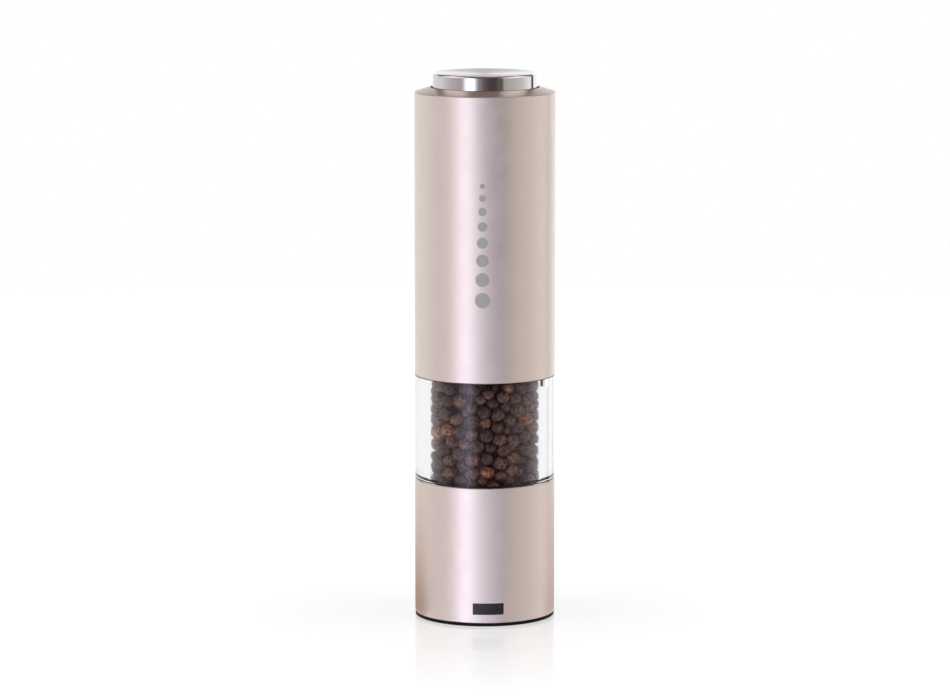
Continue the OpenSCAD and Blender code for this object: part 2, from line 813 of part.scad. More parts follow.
// Drawn steel cap with a rounded rim and a shallow dish in its top.
module button_cap() {
    dish = 0.5;
    rim = button_r - cap_rim_r;
    inner = button_r - steel_t;
    color("#c4c5c8") rotate_extrude()
        polygon(concat([[inner, skirt_z], [button_r, skirt_z]],
            [for (a = [0 : 15 : 90]) [rim + cap_rim_r * cos(a), button_top - cap_rim_r * (1 - sin(a))]],
            [for (k = [9 : -1 : 0]) [rim * k / 10, button_top - dish * (1 - k * k / 100)]],
            [[0, plate_z[1]], [inner, plate_z[1]]]));
}

// Plastic core of the button: plate, rim, and the stem with its stop collar.
module button_stem() {
    rim_r = button_r - steel_t - fit;
    color("#2a2a2e") {
        bar(rim_r, plate_z);
        tube(rim_r, rim_r - 1.6, [skirt_z + 0.4, plate_z[0]]);
        bar(stem_r, [disc_z[1], plate_z[0]]);
        bar(5.4, [holder_z[1] - 1.4, holder_z[1] - 0.1]);
    }
}

module contact_disc() {
    color("#c9a25c") bar(5.8, disc_z);
}

foot_ring();
lower_housing();
grinder_frame();
stator_burr();
burr_retainer();
retainer_screws();
shaft_bushing();
reservoir_gasket();
pepper_reservoir();
drive_shaft();
shaft_clip();
burr_spring();
rotor_carrier();
rotor_burr();
grind_knob();
knob_insert();
chassis_plug();
plug_seal();
output_bush();
gearbox_case();
gearbox_cover();
gearbox_screws();
motor_screws();
motor_can();
motor_magnets();
motor_end_cap();
motor_terminals();
inner_housing();
battery_holder();
grip_ring();
battery_cells();
cell_springs();
cell_contacts();
holder_cap();
holder_screws();
switch_board();
switch_blades();
lead_red();
lead_black();
button_spring();
motor_shaft();
motor_armature();
commutator();
sun_pinion();
planet_gear_1a();
planet_gear_1b();
planet_gear_1c();
input_carrier();
input_pins();
planet_gear_2a();
planet_gear_2b();
planet_gear_2c();
output_carrier();
output_pins();
outer_sleeve();
sleeve_collar();
sleeve_guide();
button_cap();
button_stem();
contact_disc();
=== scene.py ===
import bpy
import bmesh
import json
import math
import numpy as np
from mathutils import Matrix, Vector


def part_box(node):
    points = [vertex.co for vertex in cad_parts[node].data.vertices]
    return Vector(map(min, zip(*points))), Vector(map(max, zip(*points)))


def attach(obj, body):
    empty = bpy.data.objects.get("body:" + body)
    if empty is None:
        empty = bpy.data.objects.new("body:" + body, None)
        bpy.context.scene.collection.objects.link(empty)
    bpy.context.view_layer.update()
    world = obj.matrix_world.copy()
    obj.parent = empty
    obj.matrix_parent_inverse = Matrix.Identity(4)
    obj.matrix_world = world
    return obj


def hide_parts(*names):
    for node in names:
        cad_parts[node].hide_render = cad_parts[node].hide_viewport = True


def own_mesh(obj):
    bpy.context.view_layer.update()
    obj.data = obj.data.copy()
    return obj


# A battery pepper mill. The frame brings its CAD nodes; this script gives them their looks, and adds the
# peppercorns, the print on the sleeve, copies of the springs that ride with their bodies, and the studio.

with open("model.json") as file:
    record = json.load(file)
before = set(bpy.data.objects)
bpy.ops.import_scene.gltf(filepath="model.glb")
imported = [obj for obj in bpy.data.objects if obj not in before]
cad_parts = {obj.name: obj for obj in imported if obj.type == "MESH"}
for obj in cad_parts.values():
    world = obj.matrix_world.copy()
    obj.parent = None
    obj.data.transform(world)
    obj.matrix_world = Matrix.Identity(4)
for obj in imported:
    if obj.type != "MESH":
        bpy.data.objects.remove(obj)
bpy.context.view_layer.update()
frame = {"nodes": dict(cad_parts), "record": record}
MM = 0.001
R = round(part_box("outer_sleeve")[1][0], 6)          # the body's outer radius; the front is -Y


# ---------- node helpers ----------

def new_material(name):
    m = bpy.data.materials.new(name)
    m.use_nodes = True
    m.node_tree.nodes.clear()
    out = m.node_tree.nodes.new("ShaderNodeOutputMaterial")
    return m, m.node_tree, out


def node(tree, kind, inputs=None, **props):
    """A node with its properties set, and its inputs set or linked from sockets."""
    n = tree.nodes.new(kind)
    for k, v in props.items():
        setattr(n, k, v)
    for k, v in (inputs or {}).items():
        if isinstance(v, bpy.types.NodeSocket):
            tree.links.new(v, n.inputs[k])
        else:
            n.inputs[k].default_value = v
    return n


def ramp(tree, factor, stops, interpolation="LINEAR"):
    n = node(tree, "ShaderNodeValToRGB", {"Fac": factor})
    n.color_ramp.interpolation = interpolation
    e = n.color_ramp.elements
    while len(e) < len(stops):
        e.new(0.5)
    for el, (p, c) in zip(e, stops):
        el.position = p
        el.color = (*c, 1) if len(c) == 3 else c
    return n.outputs["Color"]


def remap(tree, value, lo, hi, from_lo=0.0, from_hi=1.0):
    n = node(tree, "ShaderNodeMapRange", {"Value": value, "From Min": from_lo, "From Max": from_hi,
                                          "To Min": lo, "To Max": hi})
    return n.outputs["Result"]


def mix_colour(tree, factor, a, b, blend="MIX"):
    n = node(tree, "ShaderNodeMix", {0: factor, 6: a, 7: b}, data_type="RGBA", blend_type=blend)
    return n.outputs[2]


def maths(tree, operation, *values):
    return node(tree, "ShaderNodeMath", dict(enumerate(values)), operation=operation).outputs[0]


def axis_of(tree, vector, name):
    return node(tree, "ShaderNodeSeparateXYZ", {"Vector": vector}).outputs[name]


def object_noise(tree, scale, stretch=(1, 1, 1), detail=3.0, rough=0.55):
    co = node(tree, "ShaderNodeTexCoord").outputs["Object"]
    m = node(tree, "ShaderNodeMapping", {"Vector": co, "Scale": stretch})
    n = node(tree, "ShaderNodeTexNoise", {"Vector": m.outputs["Vector"], "Scale": scale,
                                          "Detail": detail, "Roughness": rough})
    return n.outputs["Fac"]


def bump(tree, height, distance, strength=1.0):
    return node(tree, "ShaderNodeBump", {"Height": height, "Distance": distance,
                                         "Strength": strength}).outputs["Normal"]


def finish_material(name, dark, light, rough, scale=900.0, stretch=(1, 1, 1), metallic=0.0, depth=0.01,
                    spread=(0.35, 0.65), **sockets):
    """A surface whose colour runs between two shades on a noise, with matching roughness and fine relief.
    rough is the lowest and highest roughness; depth is the relief in millimetres."""
    m, t, out = new_material(name)
    n = object_noise(t, scale, stretch)
    colour = ramp(t, n, [(spread[0], dark), (spread[1], light)])
    fine = object_noise(t, scale * 3.1, stretch, detail=2.0)
    p = node(t, "ShaderNodeBsdfPrincipled", {
        "Base Color": colour, "Metallic": metallic,
        "Roughness": remap(t, n, rough[0], rough[1], 0.3, 0.7),
        "Normal": bump(t, fine, depth * MM)})
    for k, v in sockets.items():
        p.inputs[k.replace("_", " ")].default_value = v
    t.links.new(p.outputs[0], out.inputs["Surface"])
    return m


# ---------- materials ----------

def painted_metal():
    """Satin metallic paint: a warm rose base with fine pale flakes."""
    m, t, out = new_material("painted_rose")
    co = node(t, "ShaderNodeTexCoord").outputs["Object"]
    flakes = node(t, "ShaderNodeTexVoronoi", {"Vector": co, "Scale": 5200.0})
    cloud = object_noise(t, 160.0, detail=2.0)
    base = ramp(t, flakes.outputs["Distance"],
                [(0.0, (0.785, 0.69, 0.65)), (0.6, (0.705, 0.615, 0.58))])
    p = node(t, "ShaderNodeBsdfPrincipled", {
        "Base Color": base, "Metallic": 0.94, "Coat Weight": 0.4, "Coat Roughness": 0.32,
        "Roughness": remap(t, cloud, 0.41, 0.45, 0.35, 0.65),
        "Normal": bump(t, flakes.outputs["Distance"], 0.004 * MM)})
    t.links.new(p.outputs[0], out.inputs["Surface"])
    return m


def acrylic():
    m, t, out = new_material("clear_acrylic")
    faint = object_noise(t, 220.0, (1, 1, 0.3), detail=2.0)
    p = node(t, "ShaderNodeBsdfPrincipled", {
        "Base Color": (0.91, 0.91, 0.93, 1), "Transmission Weight": 1.0, "IOR": 1.49,
        "Specular Tint": (0.46, 0.43, 0.47, 1),
        "Roughness": remap(t, faint, 0.0, 0.015, 0.4, 0.7)})
    t.links.new(p.outputs[0], out.inputs["Surface"])
    return m


def polished_cap():
    """Drawn steel: mirror sides, and a satin top turned in fine rings."""
    m, t, out = new_material("polished_cap_steel")
    co = node(t, "ShaderNodeTexCoord").outputs["Object"]
    flat = node(t, "ShaderNodeVectorMath", {0: co, 1: (1, 1, 0)}, operation="MULTIPLY")
    radius = node(t, "ShaderNodeVectorMath", {0: flat.outputs[0]}, operation="LENGTH").outputs["Value"]
    rings = node(t, "ShaderNodeTexNoise", {"W": radius, "Scale": 9000.0, "Detail": 3.0},
                 noise_dimensions="1D").outputs["Fac"]
    # The turned face lies above the dish's lowest level and within the rounded rim.
    top = remap(t, axis_of(t, co, "Z"), 0.0, 1.0, 193.9 * MM, 194.05 * MM)
    inner = remap(t, radius, 1.0, 0.0, 17.6 * MM, 18.0 * MM)
    face = maths(t, "MULTIPLY", top, inner)
    satin = remap(t, rings, 0.26, 0.38, 0.3, 0.7)
    rough = node(t, "ShaderNodeMix", {"Factor": face, "A": 0.06, "B": satin}, data_type="FLOAT")
    around = node(t, "ShaderNodeTangent", direction_type="RADIAL", axis="Z").outputs[0]
    tone = ramp(t, rings, [(0.3, (0.60, 0.60, 0.61)), (0.7, (0.68, 0.68, 0.69))])
    # The dish's own slope, so that the turned rings run evenly over it.
    curve = -3.17                # one over the dish's radius, in metres
    tilt = node(t, "ShaderNodeVectorMath", {0: flat.outputs[0], 1: (curve, curve, 0), 2: (0, 0, 1)},
                operation="MULTIPLY_ADD").outputs[0]
    own = node(t, "ShaderNodeNewGeometry").outputs["Normal"]
    normal = node(t, "ShaderNodeMix", {0: face, 4: own, 5: tilt}, data_type="VECTOR")
    fine = node(t, "ShaderNodeBump", {"Height": rings, "Distance": 0.002 * MM, "Strength": 0.6,
                                      "Normal": normal.outputs[1]})
    p = node(t, "ShaderNodeBsdfPrincipled", {
        "Base Color": tone, "Metallic": 1.0, "Roughness": rough.outputs[0], "Anisotropic": 0.75,
        "Anisotropic Rotation": 0.25, "Tangent": around, "Normal": fine.outputs[0]})
    t.links.new(p.outputs[0], out.inputs["Surface"])
    return m


def peppercorn():
    """Dried skin with each corn's own tint and dusty specks; the valleys between the wrinkles are painted
    darker and the ridges paler, patchily: painted shade in the creases and painted light on the ridges.
    """
    m, t, out = new_material("peppercorn_skin")
    tint = node(t, "ShaderNodeAttribute", attribute_name="tint").outputs["Color"]
    ridge = node(t, "ShaderNodeAttribute", attribute_name="ridge").outputs["Fac"]
    mottle = object_noise(t, 1400.0, detail=4.0)
    dusty = remap(t, object_noise(t, 620.0, detail=3.0, rough=0.7), 0.0, 0.30, 0.52, 0.66)
    # Painted shade and light: the ridges, patchy by the mottle, turn paler and the valleys darker; the dusty
    # specks are the skin's own colour.
    ridge_shade_and_dust = maths(t, "ADD", maths(t, "MULTIPLY", ridge, mottle), dusty)
    shade = ramp(t, ridge_shade_and_dust, [(0.0, (0.50, 0.45, 0.43)), (0.30, (1.15, 1.05, 0.98)), (0.6, (2.6, 2.3, 2.05))])
    p = node(t, "ShaderNodeBsdfPrincipled", {
        "Base Color": mix_colour(t, 1.0, tint, shade, "MULTIPLY"),
        "Roughness": remap(t, mottle, 0.42, 0.7, 0.3, 0.7),
        "Normal": bump(t, object_noise(t, 1900.0, detail=4.0), 0.22 * MM)})
    t.links.new(p.outputs[0], out.inputs["Surface"])
    return m


def cell_skin():
    """Shrink sleeve with one pale band; the end faces and nubs are bare metal."""
    m, t, out = new_material("cell_sleeve")
    z = axis_of(t, node(t, "ShaderNodeTexCoord").outputs["Object"], "Z")
    up = axis_of(t, node(t, "ShaderNodeNewGeometry").outputs["Normal"], "Z")
    faces = remap(t, maths(t, "ABSOLUTE", up), 0.0, 1.0, 0.6, 0.7)
    low = remap(t, z, 1.0, 0.0, 137.0 * MM, 137.1 * MM)
    high = remap(t, z, 0.0, 1.0, 181.1 * MM, 181.2 * MM)
    bare = maths(t, "MAXIMUM", faces, maths(t, "MAXIMUM", low, high))
    height = remap(t, z, 0.0, 1.0, 130 * MM, 190 * MM)
    teal, lighter_teal, band = (0.035, 0.13, 0.15), (0.045, 0.15, 0.17), (0.62, 0.63, 0.60)
    sleeve = ramp(t, height, [(0.0, teal), (0.295, lighter_teal), (0.30, band),
                              (0.37, band), (0.375, lighter_teal), (1.0, teal)])
    skin = node(t, "ShaderNodeBsdfPrincipled", {
        "Base Color": sleeve, "Roughness": remap(t, object_noise(t, 500.0, detail=2.0), 0.2, 0.3, 0.3, 0.7)})
    metal = node(t, "ShaderNodeBsdfPrincipled", {
        "Base Color": (0.66, 0.66, 0.67, 1), "Metallic": 1.0,
        "Roughness": remap(t, object_noise(t, 900.0, detail=2.0), 0.2, 0.32, 0.3, 0.7)})
    side = node(t, "ShaderNodeMixShader", {0: bare, 1: skin.outputs[0], 2: metal.outputs[0]})
    t.links.new(side.outputs[0], out.inputs["Surface"])
    return m


def by_azimuth(tree, az, stops):
    """Colours by azimuth in degrees: 0 is towards the front, and + to the right."""
    return ramp(tree, az, [((a + 180) / 360, c) for a, c in stops])


def by_height(tree, sine, stops):
    """A grey by elevation in degrees, where sine is the direction's Z."""
    level = remap(tree, sine, 0.0, 1.0, -1.0, 1.0)
    return ramp(tree, level, [((math.sin(math.radians(e)) + 1) / 2, (v, v, v)) for e, v in stops])


# What stands round the mill near the level of the eye: white walls behind it, a window's bright strip on
# the left of the front, a dark room in front, and a dark upright on the right.
RING = [(-180, (1.22, 1.22, 1.26)), (-155, (1.0, 1.0, 1.0)), (-112, (0.94, 0.94, 0.90)),
        (-82, (0.68, 0.62, 0.60)), (-57, (0.57, 0.49, 0.49)), (-50, (0.68, 0.57, 0.59)),
        (-45, (1.2, 1.15, 1.2)), (-40, (1.9, 1.9, 2.2)), (-26, (2.6, 2.7, 3.2)), (-22, (1.3, 1.26, 1.27)),
        (-15, (0.42, 0.36, 0.39)), (-2, (0.18, 0.14, 0.14)), (11, (0.09, 0.068, 0.066)),
        (24, (0.10, 0.076, 0.07)), (31, (0.17, 0.14, 0.12)), (38, (0.15, 0.12, 0.11)),
        (43, (0.56, 0.50, 0.46)), (60, (0.66, 0.60, 0.555)), (90, (0.81, 0.77, 0.74)),
        (112, (1.2, 1.15, 1.1)), (121, (1.2, 1.15, 1.1)), (124, (0.08, 0.08, 0.08)),
        (131, (0.08, 0.08, 0.08)), (134, (1.3, 1.3, 1.3)), (180, (1.22, 1.22, 1.26))]
# Above the ring: a softbox over each side, and dim walls over the front and the back.
DIM, SOFT = (0.155, 0.085, 0.055), (1.65, 1.55, 1.5)
ABOVE = [(-180, DIM), (-125, DIM), (-105, SOFT), (-55, SOFT), (-35, DIM), (35, DIM), (55, SOFT),
         (105, SOFT), (125, DIM), (180, DIM)]
# Below it: the lit floor, with the strip's own light on it.
PALE, LIT, SHADE = (0.90, 0.87, 0.83), (2.65, 2.8, 3.4), (0.62, 0.58, 0.54)
GROUND = [(-180, PALE), (-75, PALE), (-56, (1.05, 1.04, 1.12)), (-38, (1.4, 1.48, 1.75)), (-10, LIT),
          (6, LIT), (28, (1.12, 1.09, 1.1)), (60, (0.78, 0.75, 0.72)), (80, SHADE), (118, SHADE),
          (150, PALE), (180, PALE)]
ROOF = (0.26, 0.23, 0.22, 1)
# At the back, the zones above the ring start this much higher, as a part of the direction's Z.
RISE = [(-180, (0.2, 0.2, 0.2)), (-126, (0, 0, 0)), (126, (0, 0, 0)), (180, (0.2, 0.2, 0.2))]


def world_light():
    """A studio seen as a panorama by azimuth and height. The camera itself sees white."""
    w = bpy.data.worlds.new("studio")
    bpy.context.scene.world = w
    w.use_nodes = True
    t = w.node_tree
    t.nodes.clear()
    d = node(t, "ShaderNodeSeparateXYZ", {"Vector": node(t, "ShaderNodeTexCoord").outputs["Generated"]})
    east, north, up = (d.outputs[k] for k in "XYZ")
    turn = maths(t, "ARCTAN2", east, maths(t, "MULTIPLY", north, -1.0))
    az = remap(t, turn, 0.0, 1.0, -math.pi, math.pi)
    sine = {e: math.sin(math.radians(e)) for e in (-30, -12, 50, 58)}
    on_floor = remap(t, up, 1.0, 0.0, sine[-30], sine[-12])
    level = mix_colour(t, on_floor, by_azimuth(t, az, RING), by_azimuth(t, az, GROUND))
    raised = maths(t, "SUBTRACT", up, by_azimuth(t, az, RISE))
    veil = by_height(t, raised, [(-90, 0.0), (12, 0.0), (22, 1.0), (90, 1.0)])
    walls = mix_colour(t, veil, level, by_azimuth(t, az, ABOVE))
    sky = mix_colour(t, remap(t, up, 0.0, 1.0, sine[50], sine[58]), walls, ROOF)
    lit = node(t, "ShaderNodeBackground", {"Color": sky, "Strength": 1.0})
    white = node(t, "ShaderNodeBackground", {"Color": (1, 1, 1, 1), "Strength": 1.0})
    path = node(t, "ShaderNodeLightPath")
    behind = maths(t, "GREATER_THAN", north, 0.0)
    through = maths(t, "MULTIPLY", path.outputs["Is Transmission Ray"], behind)
    seen = maths(t, "MAXIMUM", path.outputs["Is Camera Ray"], through)
    mix = node(t, "ShaderNodeMixShader", {0: seen, 1: lit.outputs[0], 2: white.outputs[0]})
    out = node(t, "ShaderNodeOutputWorld")
    t.links.new(mix.outputs[0], out.inputs["Surface"])


# ---------- mesh helpers ----------

def add_object(name, data):
    o = bpy.data.objects.new(name, data)
    bpy.context.scene.collection.objects.link(o)
    return o


def mesh_object(name, verts, faces, material, smooth=True):
    me = bpy.data.meshes.new(name)
    me.from_pydata([tuple(v) for v in verts], [], faces)
    me.update()
    me.polygons.foreach_set("use_smooth", [smooth] * len(me.polygons))
    me.materials.append(material)
    return add_object(name, me)


def on_body(u, z, r):
    """The point at arc length u to the right of the front line, height z and radius r."""
    a = u / R
    return (r * math.sin(a), -r * math.cos(a), z)


def wrapped_patch(outline, r_in, r_out, rings=4):
    """Vertices and faces of a thin closed plate whose outline (u, z) wraps round the body."""
    cu = sum(p[0] for p in outline) / len(outline)
    cz = sum(p[1] for p in outline) / len(outline)
    n = len(outline)
    verts, faces = [], []
    for r in (r_out, r_in):
        base = len(verts)
        verts.append(on_body(cu, cz, r))
        for k in range(1, rings + 1):
            f = k / rings
            verts += [on_body(cu + (u - cu) * f, cz + (z - cz) * f, r) for u, z in outline]
        out = r == r_out
        for i in range(n):
            j = (i + 1) % n
            tri = (base, base + 1 + i, base + 1 + j)
            faces.append(tri if out else tri[::-1])
            for k in range(rings - 1):
                a, b = base + 1 + k * n, base + 1 + (k + 1) * n
                quad = (a + i, b + i, b + j, a + j)
                faces.append(quad if out else quad[::-1])
    top, low = 1 + (rings - 1) * n, 2 + rings * n + (rings - 1) * n
    for i in range(n):
        j = (i + 1) % n
        faces.append((top + i, low + i, low + j, top + j))
    return verts, faces


def rounded_rect(cu, cz, w, h, r, steps=6):
    """A rounded rectangle's outline, cut into steps of half a millimetre or less."""
    pts = []
    for sx, sz, a0 in ((1, 1, 0), (-1, 1, 90), (-1, -1, 180), (1, -1, 270)):
        for k in range(steps + 1):
            a = math.radians(a0 + 90 * k / steps)
            pts.append((cu + sx * (w / 2 - r) + r * math.cos(a), cz + sz * (h / 2 - r) + r * math.sin(a)))
    dense = []
    for (u0, z0), (u1, z1) in zip(pts, pts[1:] + pts[:1]):
        cuts = max(1, math.ceil(math.hypot(u1 - u0, z1 - z0) / (0.5 * MM)))
        dense += [(u0 + (u1 - u0) * k / cuts, z0 + (z1 - z0) * k / cuts) for k in range(cuts)]
    return dense


# ---------- peppercorns ----------

# Sizes are in millimetres in this section.
CORNS = 640
CORN_R = (1.95, 2.34, 2.8)           # radii of the smallest, the usual and the largest corn
START_R = (5.5, 16.5)                # the corns start scattered between these distances from the shaft
ROUNDS, PUSH = 420, 0.21             # rounds of pushing apart, and how much of an overlap a push undoes
DRAWN = 0.995                        # a corn's drawn size, as a part of its packed size
FILL = (36.0, 86.2)                  # the corns' lowest and highest levels
SOCKET_R, SOCKET_Z = 5.3, 84.8       # the shaft's socket reaches lower than the plug round it
SHAFT_R = 3.1                        # clears the corners of the square shaft
BORE_R, THROAT_R = 19.52, 13.2       # just inside the reservoir's bore, and the throat below the funnel
FUNNEL_Z = (33.0, 49.6)              # where the funnel narrows from the one to the other
SEEN_R, SEEN_Z = 16.6, 46            # corns further out and higher than this show through the wall
BACK_Y = 4                           # where the back piece begins


def pack_corns(rng):
    """Centres and radii of corns that fill the reservoir round the shaft, relaxed until they only touch."""
    low, top = FILL
    rad = rng.normal(CORN_R[1], 0.2, CORNS).clip(CORN_R[0], CORN_R[2])
    ang = rng.uniform(0, 2 * math.pi, CORNS)
    rr = np.sqrt(rng.uniform(START_R[0] ** 2, START_R[1] ** 2, CORNS))
    p = np.stack([rr * np.cos(ang), rr * np.sin(ang), rng.uniform(low + 3, top - 3, CORNS)], 1)
    for _ in range(ROUNDS):
        d = p[:, None] - p[None]
        dist = np.sqrt((d ** 2).sum(2)) + 1e-9
        over = rad[:, None] + rad[None] - dist
        np.fill_diagonal(over, 0)
        over = over.clip(0, None)
        p += PUSH * (d / dist[..., None] * over[..., None]).sum(1)
        flat = np.hypot(p[:, 0], p[:, 1]) + 1e-9
        up = (p[:, 2].clip(*FUNNEL_Z) - FUNNEL_Z[0]) / (FUNNEL_Z[1] - FUNNEL_Z[0])
        limit = THROAT_R + up * (BORE_R - THROAT_R) - rad
        inner = SHAFT_R + rad
        scale = np.where(flat > limit, limit / flat, np.where(flat < inner, inner / flat, 1.0))
        p[:, :2] *= scale[:, None]
        ceiling = np.where(flat < SOCKET_R + rad, SOCKET_Z, top)
        p[:, 2] = p[:, 2].clip(low + rad, ceiling - rad)
    return p, rad


def corn_shape(rng, subdivisions):
    """One wrinkled unit corn: directions, radius factors, ridge heights and faces."""
    bm = bmesh.new()
    bmesh.ops.create_icosphere(bm, subdivisions=subdivisions, radius=1)
    co = np.array([v.co[:] for v in bm.verts])
    faces = [[v.index for v in f.verts] for f in bm.faces]
    bm.free()
    seeds = rng.normal(size=(30, 3))
    seeds /= np.linalg.norm(seeds, axis=1)[:, None]
    warp = co + 0.10 * np.sin(co @ rng.normal(size=(3, 3)) * 4 + rng.uniform(0, 6, 3))
    near = np.sort(np.linalg.norm(warp[:, None] - seeds[None], axis=2), axis=1)
    edge = np.exp(-((near[:, 1] - near[:, 0]) / 0.15) ** 2)
    lump = 0.025 * np.sin(co @ rng.normal(size=(3,)) * 2.5 + rng.uniform(0, 6))
    factor = 0.94 + 0.06 * edge + lump
    return co, factor, edge, faces


def corn_tint(rng):
    """Mostly dark, with some brown, a few rust and hardly any golden corns."""
    pick = rng.uniform()
    for share, tint in ((0.012, (0.62, 0.40, 0.16)), (0.07, (0.31, 0.15, 0.08)), (0.22, (0.165, 0.09, 0.06))):
        if pick < share:
            return tint
    k = rng.uniform(0.6, 1.25)
    return (0.122 * k, 0.070 * k, 0.058 * k)


def random_turn(rng):
    turn, _ = np.linalg.qr(rng.normal(size=(3, 3)))
    if np.linalg.det(turn) < 0:
        turn[:, 0] *= -1
    return turn


def make_corns(body):
    """The corns in three pieces; those that show have the finer shapes."""
    rng = np.random.default_rng(7)
    centres, rad = pack_corns(rng)
    skin = peppercorn()
    outer = np.hypot(centres[:, 0], centres[:, 1]) + rad > SEEN_R
    fine_shapes = [corn_shape(rng, 4) for _ in range(10)]
    plain_shapes = [corn_shape(rng, 3) for _ in range(5)]
    everyone = range(len(centres))
    shown = [i for i in everyone if outer[i] and centres[i, 2] > SEEN_Z]
    hidden = sorted(set(everyone) - set(shown))
    for name, members, kinds in (
            ("peppercorns_front", [i for i in shown if centres[i, 1] < BACK_Y], fine_shapes),
            ("peppercorns_back", [i for i in shown if centres[i, 1] >= BACK_Y], fine_shapes),
            ("peppercorns_inside", hidden, plain_shapes)):
        verts, faces, tints, ridges = [], [], [], []
        base = 0
        for i in members:
            co, factor, edge, fs = kinds[rng.integers(len(kinds))]
            turn = random_turn(rng)
            squash = np.array([1, 1, rng.uniform(0.93, 1.0)])
            local = (co * factor[:, None] * squash) @ turn.T * rad[i] * DRAWN
            verts.append((local + centres[i]) * MM)
            faces += [[a + base for a in f] for f in fs]
            base += len(co)
            tints.append(np.tile([*corn_tint(rng), 1.0], (len(co), 1)))
            ridges.append(edge)
        o = mesh_object(name, np.concatenate(verts), faces, skin)
        a = o.data.attributes.new("tint", "FLOAT_COLOR", "POINT")
        a.data.foreach_set("color", np.concatenate(tints).astype(np.float32).ravel())
        b = o.data.attributes.new("ridge", "FLOAT", "POINT")
        b.data.foreach_set("value", np.concatenate(ridges).astype(np.float32))
        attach(o, body)


# ---------- materials of the CAD nodes ----------

def slot_materials():
    """A material for each of the record's material slots."""
    plain = finish_material
    turned = dict(stretch=(0.1, 0.1, 3), metallic=1.0, depth=0.004)
    return {
        "painted": painted_metal(),
        "acrylic": acrylic(),
        "polished_steel": polished_cap(),
        "cell": cell_skin(),
        "black_plastic": plain("black_moulded", (0.007, 0.007, 0.0075), (0.013, 0.013, 0.0135), (0.42, 0.55),
                               1500, depth=0.02, Specular_IOR_Level=0.35),
        "black_rubber": plain("black_silicone", (0.006, 0.006, 0.006), (0.011, 0.011, 0.011), (0.6, 0.75),
                              1200, depth=0.02, Specular_IOR_Level=0.25),
        "ceramic": plain("burr_ceramic", (0.74, 0.72, 0.67), (0.82, 0.80, 0.76), (0.35, 0.5), 900,
                         depth=0.02),
        "steel": plain("turned_steel", (0.50, 0.50, 0.51), (0.60, 0.60, 0.61), (0.24, 0.36), 1500, **turned),
        "brass": plain("turned_brass", (0.62, 0.42, 0.17), (0.72, 0.51, 0.23), (0.22, 0.34), 1400, **turned),
        "copper": plain("copper_winding", (0.42, 0.17, 0.07), (0.66, 0.31, 0.15), (0.25, 0.4), 700,
                        (1, 1, 9), metallic=1.0, depth=0.06),
        "gear_plastic": plain("gear_acetal", (0.74, 0.70, 0.60), (0.80, 0.77, 0.68), (0.38, 0.48), 800),
        "magnet": plain("ferrite", (0.05, 0.05, 0.052), (0.085, 0.085, 0.09), (0.55, 0.7), 1600, depth=0.03),
        "cap_plastic": plain("white_nylon", (0.72, 0.72, 0.69), (0.80, 0.80, 0.77), (0.4, 0.5), 900),
        "board": plain("green_board", (0.02, 0.13, 0.05), (0.03, 0.18, 0.075), (0.3, 0.4), 1500),
        "red": plain("red_lead", (0.42, 0.02, 0.015), (0.52, 0.035, 0.025), (0.35, 0.45), 900),
        "black_wire": plain("black_lead", (0.01, 0.01, 0.01), (0.02, 0.02, 0.02), (0.35, 0.45), 900)}


def dress_nodes():
    """Gives every CAD node its slot's material; the foot ring gets a darker, duller black of its own, which
    is painted shade for the shadow it stands in at the table.
    """
    by_slot = slot_materials()
    # Painted shade: a darker, less glossy black than the slot's, standing for the shadow round the foot at
    # the table.
    foot_black_painted_shade = finish_material("foot_black_painted_shade", (0.003, 0.003, 0.003), (0.006, 0.006, 0.006), (0.55, 0.7),
                                 1500, depth=0.02, Specular_IOR_Level=0.1)
    for part in frame["record"]["subparts"]:
        materials = frame["nodes"][part["node"]].data.materials
        materials.clear()
        materials.append(foot_black_painted_shade if part["node"] == "foot_ring" else by_slot[part["material_slot"]])


# ---------- springs and marks ----------

def add_coil(node_name, body):
    """A copy of a coil spring that rides with its body, in place of the CAD node, which is hidden."""
    coil = add_object(node_name + "_coil", frame["nodes"][node_name].data.copy())
    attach(coil, body)
    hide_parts(node_name)
    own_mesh(coil)


def print_dots():
    """A row of dots up the sleeve's front, from coarse to fine."""
    ink = finish_material("grey_print", (0.33, 0.33, 0.29), (0.40, 0.40, 0.36), (0.5, 0.6), 2500,
                          metallic=0.3, depth=0.004)
    low, high, across = 113.9, 157.8, -0.9         # the row's ends and its middle line, in millimetres
    sizes = [5.4, 4.9, 4.4, 3.9, 3.4, 2.9, 2.4, 1.9]
    gap = (high - low - sum(sizes)) / (len(sizes) - 1)
    turns = np.linspace(0, 2 * math.pi, 40, endpoint=False)
    z = low
    for k, d in enumerate(sizes):
        ring = [((across + d / 2 * math.cos(a)) * MM, (z + d / 2 + d / 2 * math.sin(a)) * MM) for a in turns]
        verts, faces = wrapped_patch(ring, R - 0.02 * MM, R + 0.02 * MM)
        dot = mesh_object("print_dot_%d" % (k + 1), verts, faces, ink, smooth=False)
        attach(dot, "sleeve")
        z += d + gap


def blank_nameplate():
    black = finish_material("plate_black", (0.008, 0.008, 0.009), (0.014, 0.014, 0.016), (0.25, 0.35), 1800,
                            depth=0.004)
    outline = rounded_rect(1.2 * MM, 6.25 * MM, 11.1 * MM, 4.1 * MM, 0.3 * MM)
    verts, faces = wrapped_patch(outline, R - 0.02 * MM, R + 0.03 * MM)
    badge = mesh_object("nameplate", verts, faces, black, smooth=False)
    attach(badge, "base")


# ---------- studio ----------

def hide_from(obj, *rays):
    for ray in rays:
        setattr(obj, "visible_" + ray, False)


def away_from_axis(tree):
    co = node(tree, "ShaderNodeTexCoord").outputs["Object"]
    return node(tree, "ShaderNodeVectorMath", {0: co}, operation="LENGTH").outputs["Value"]


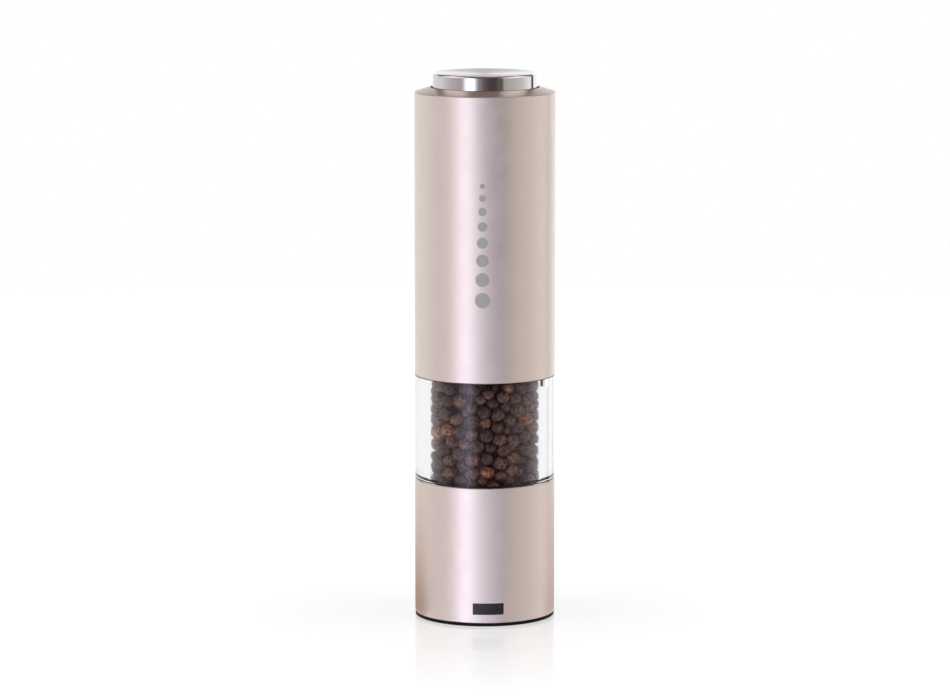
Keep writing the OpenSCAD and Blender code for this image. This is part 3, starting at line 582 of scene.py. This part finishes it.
def add_table():
    """A lit white table that mirrors the foot a little; from below it can't be seen."""
    m, t, out = new_material("white_table")
    gloss = node(t, "ShaderNodeBsdfPrincipled", {
        "Base Color": (0.91, 0.94, 0.96, 1), "Roughness": 0.05,
        "Emission Color": (0.97, 1, 1, 1), "Emission Strength": 0.17})
    white = node(t, "ShaderNodeEmission", {"Color": (1, 1, 1, 1), "Strength": 1.1})
    near = remap(t, away_from_axis(t), 0.68, 0.0, 26 * MM, 170 * MM)
    top = node(t, "ShaderNodeMixShader", {0: near, 1: white.outputs[0], 2: gloss.outputs[0]})
    clear = node(t, "ShaderNodeBsdfTransparent")
    below = node(t, "ShaderNodeNewGeometry").outputs["Backfacing"]
    side = node(t, "ShaderNodeMixShader", {0: below, 1: top.outputs[0], 2: clear.outputs[0]})
    t.links.new(side.outputs[0], out.inputs["Surface"])
    bm = bmesh.new()
    bmesh.ops.create_circle(bm, cap_ends=True, segments=96, radius=0.9)
    me = bpy.data.meshes.new("table")
    bm.to_mesh(me)
    bm.free()
    me.materials.append(m)
    table = add_object("table", me)
    table.location.z = -0.02 * MM
    hide_from(table, "glossy", "diffuse", "transmission", "shadow")


REACH = [28, 45, 70, 110, 170, 280]          # the sheets' rings, in millimetres from the axis
LEAN = [42, 34, 20, 8, 0, 0]                 # how many degrees further to the front each ring reaches


def add_sheet(name, front, back, near, far):
    """A sheet just under the table's surface, beside and behind the foot, between two azimuths. Only
    reflections see it, as the table hides itself from those. It shades an edge of the lower housing, and
    its colour runs from near the foot to far."""
    m, t, out = new_material(name)
    span = remap(t, away_from_axis(t), 0.0, 1.0, REACH[1] * MM, 220 * MM)
    glow = node(t, "ShaderNodeEmission", {"Color": ramp(t, span, [(0.0, near), (1.0, far)])})
    t.links.new(glow.outputs[0], out.inputs["Surface"])
    cuts = 12
    verts = []
    for r, lean in zip(REACH, LEAN):
        for a in np.radians(np.linspace(front - math.copysign(lean, front), back, cuts + 1)):
            verts.append((r * MM * math.sin(a), -r * MM * math.cos(a), -0.05 * MM))
    faces = []
    for i in range(len(REACH) - 1):
        for k in range(cuts):
            a = (cuts + 1) * i + k
            faces.append((a, a + 1, a + cuts + 2, a + cuts + 1))
    sheet = mesh_object(name, verts, faces, m)
    hide_from(sheet, "camera", "diffuse", "transmission", "shadow")


def add_camera():
    """A long lens that looks a little down on the mill, from a little left of its middle."""
    look_down = 8.395                            # degrees
    lens = bpy.data.cameras.new("camera")
    lens.lens = 160.9
    lens.sensor_width = 36
    camera = add_object("camera", lens)
    camera.location = (-0.0035, -1.5, 0.3168)
    camera.rotation_euler = (math.radians(90 - look_down), 0, 0)
    bpy.context.scene.camera = camera
    bpy.context.scene.view_settings.view_transform = "Standard"


# ---------- build ----------

dress_nodes()
add_coil("button_spring", "power_unit")
add_coil("burr_spring", "shaft")
make_corns("base")
print_dots()
blank_nameplate()
world_light()
add_table()
add_sheet("sheet_left", -112, -178, (0.36, 0.24, 0.15), (0.88, 0.76, 0.70))
add_sheet("sheet_right", 118, 176, (0.60, 0.53, 0.50), (0.76, 0.71, 0.68))
add_camera()
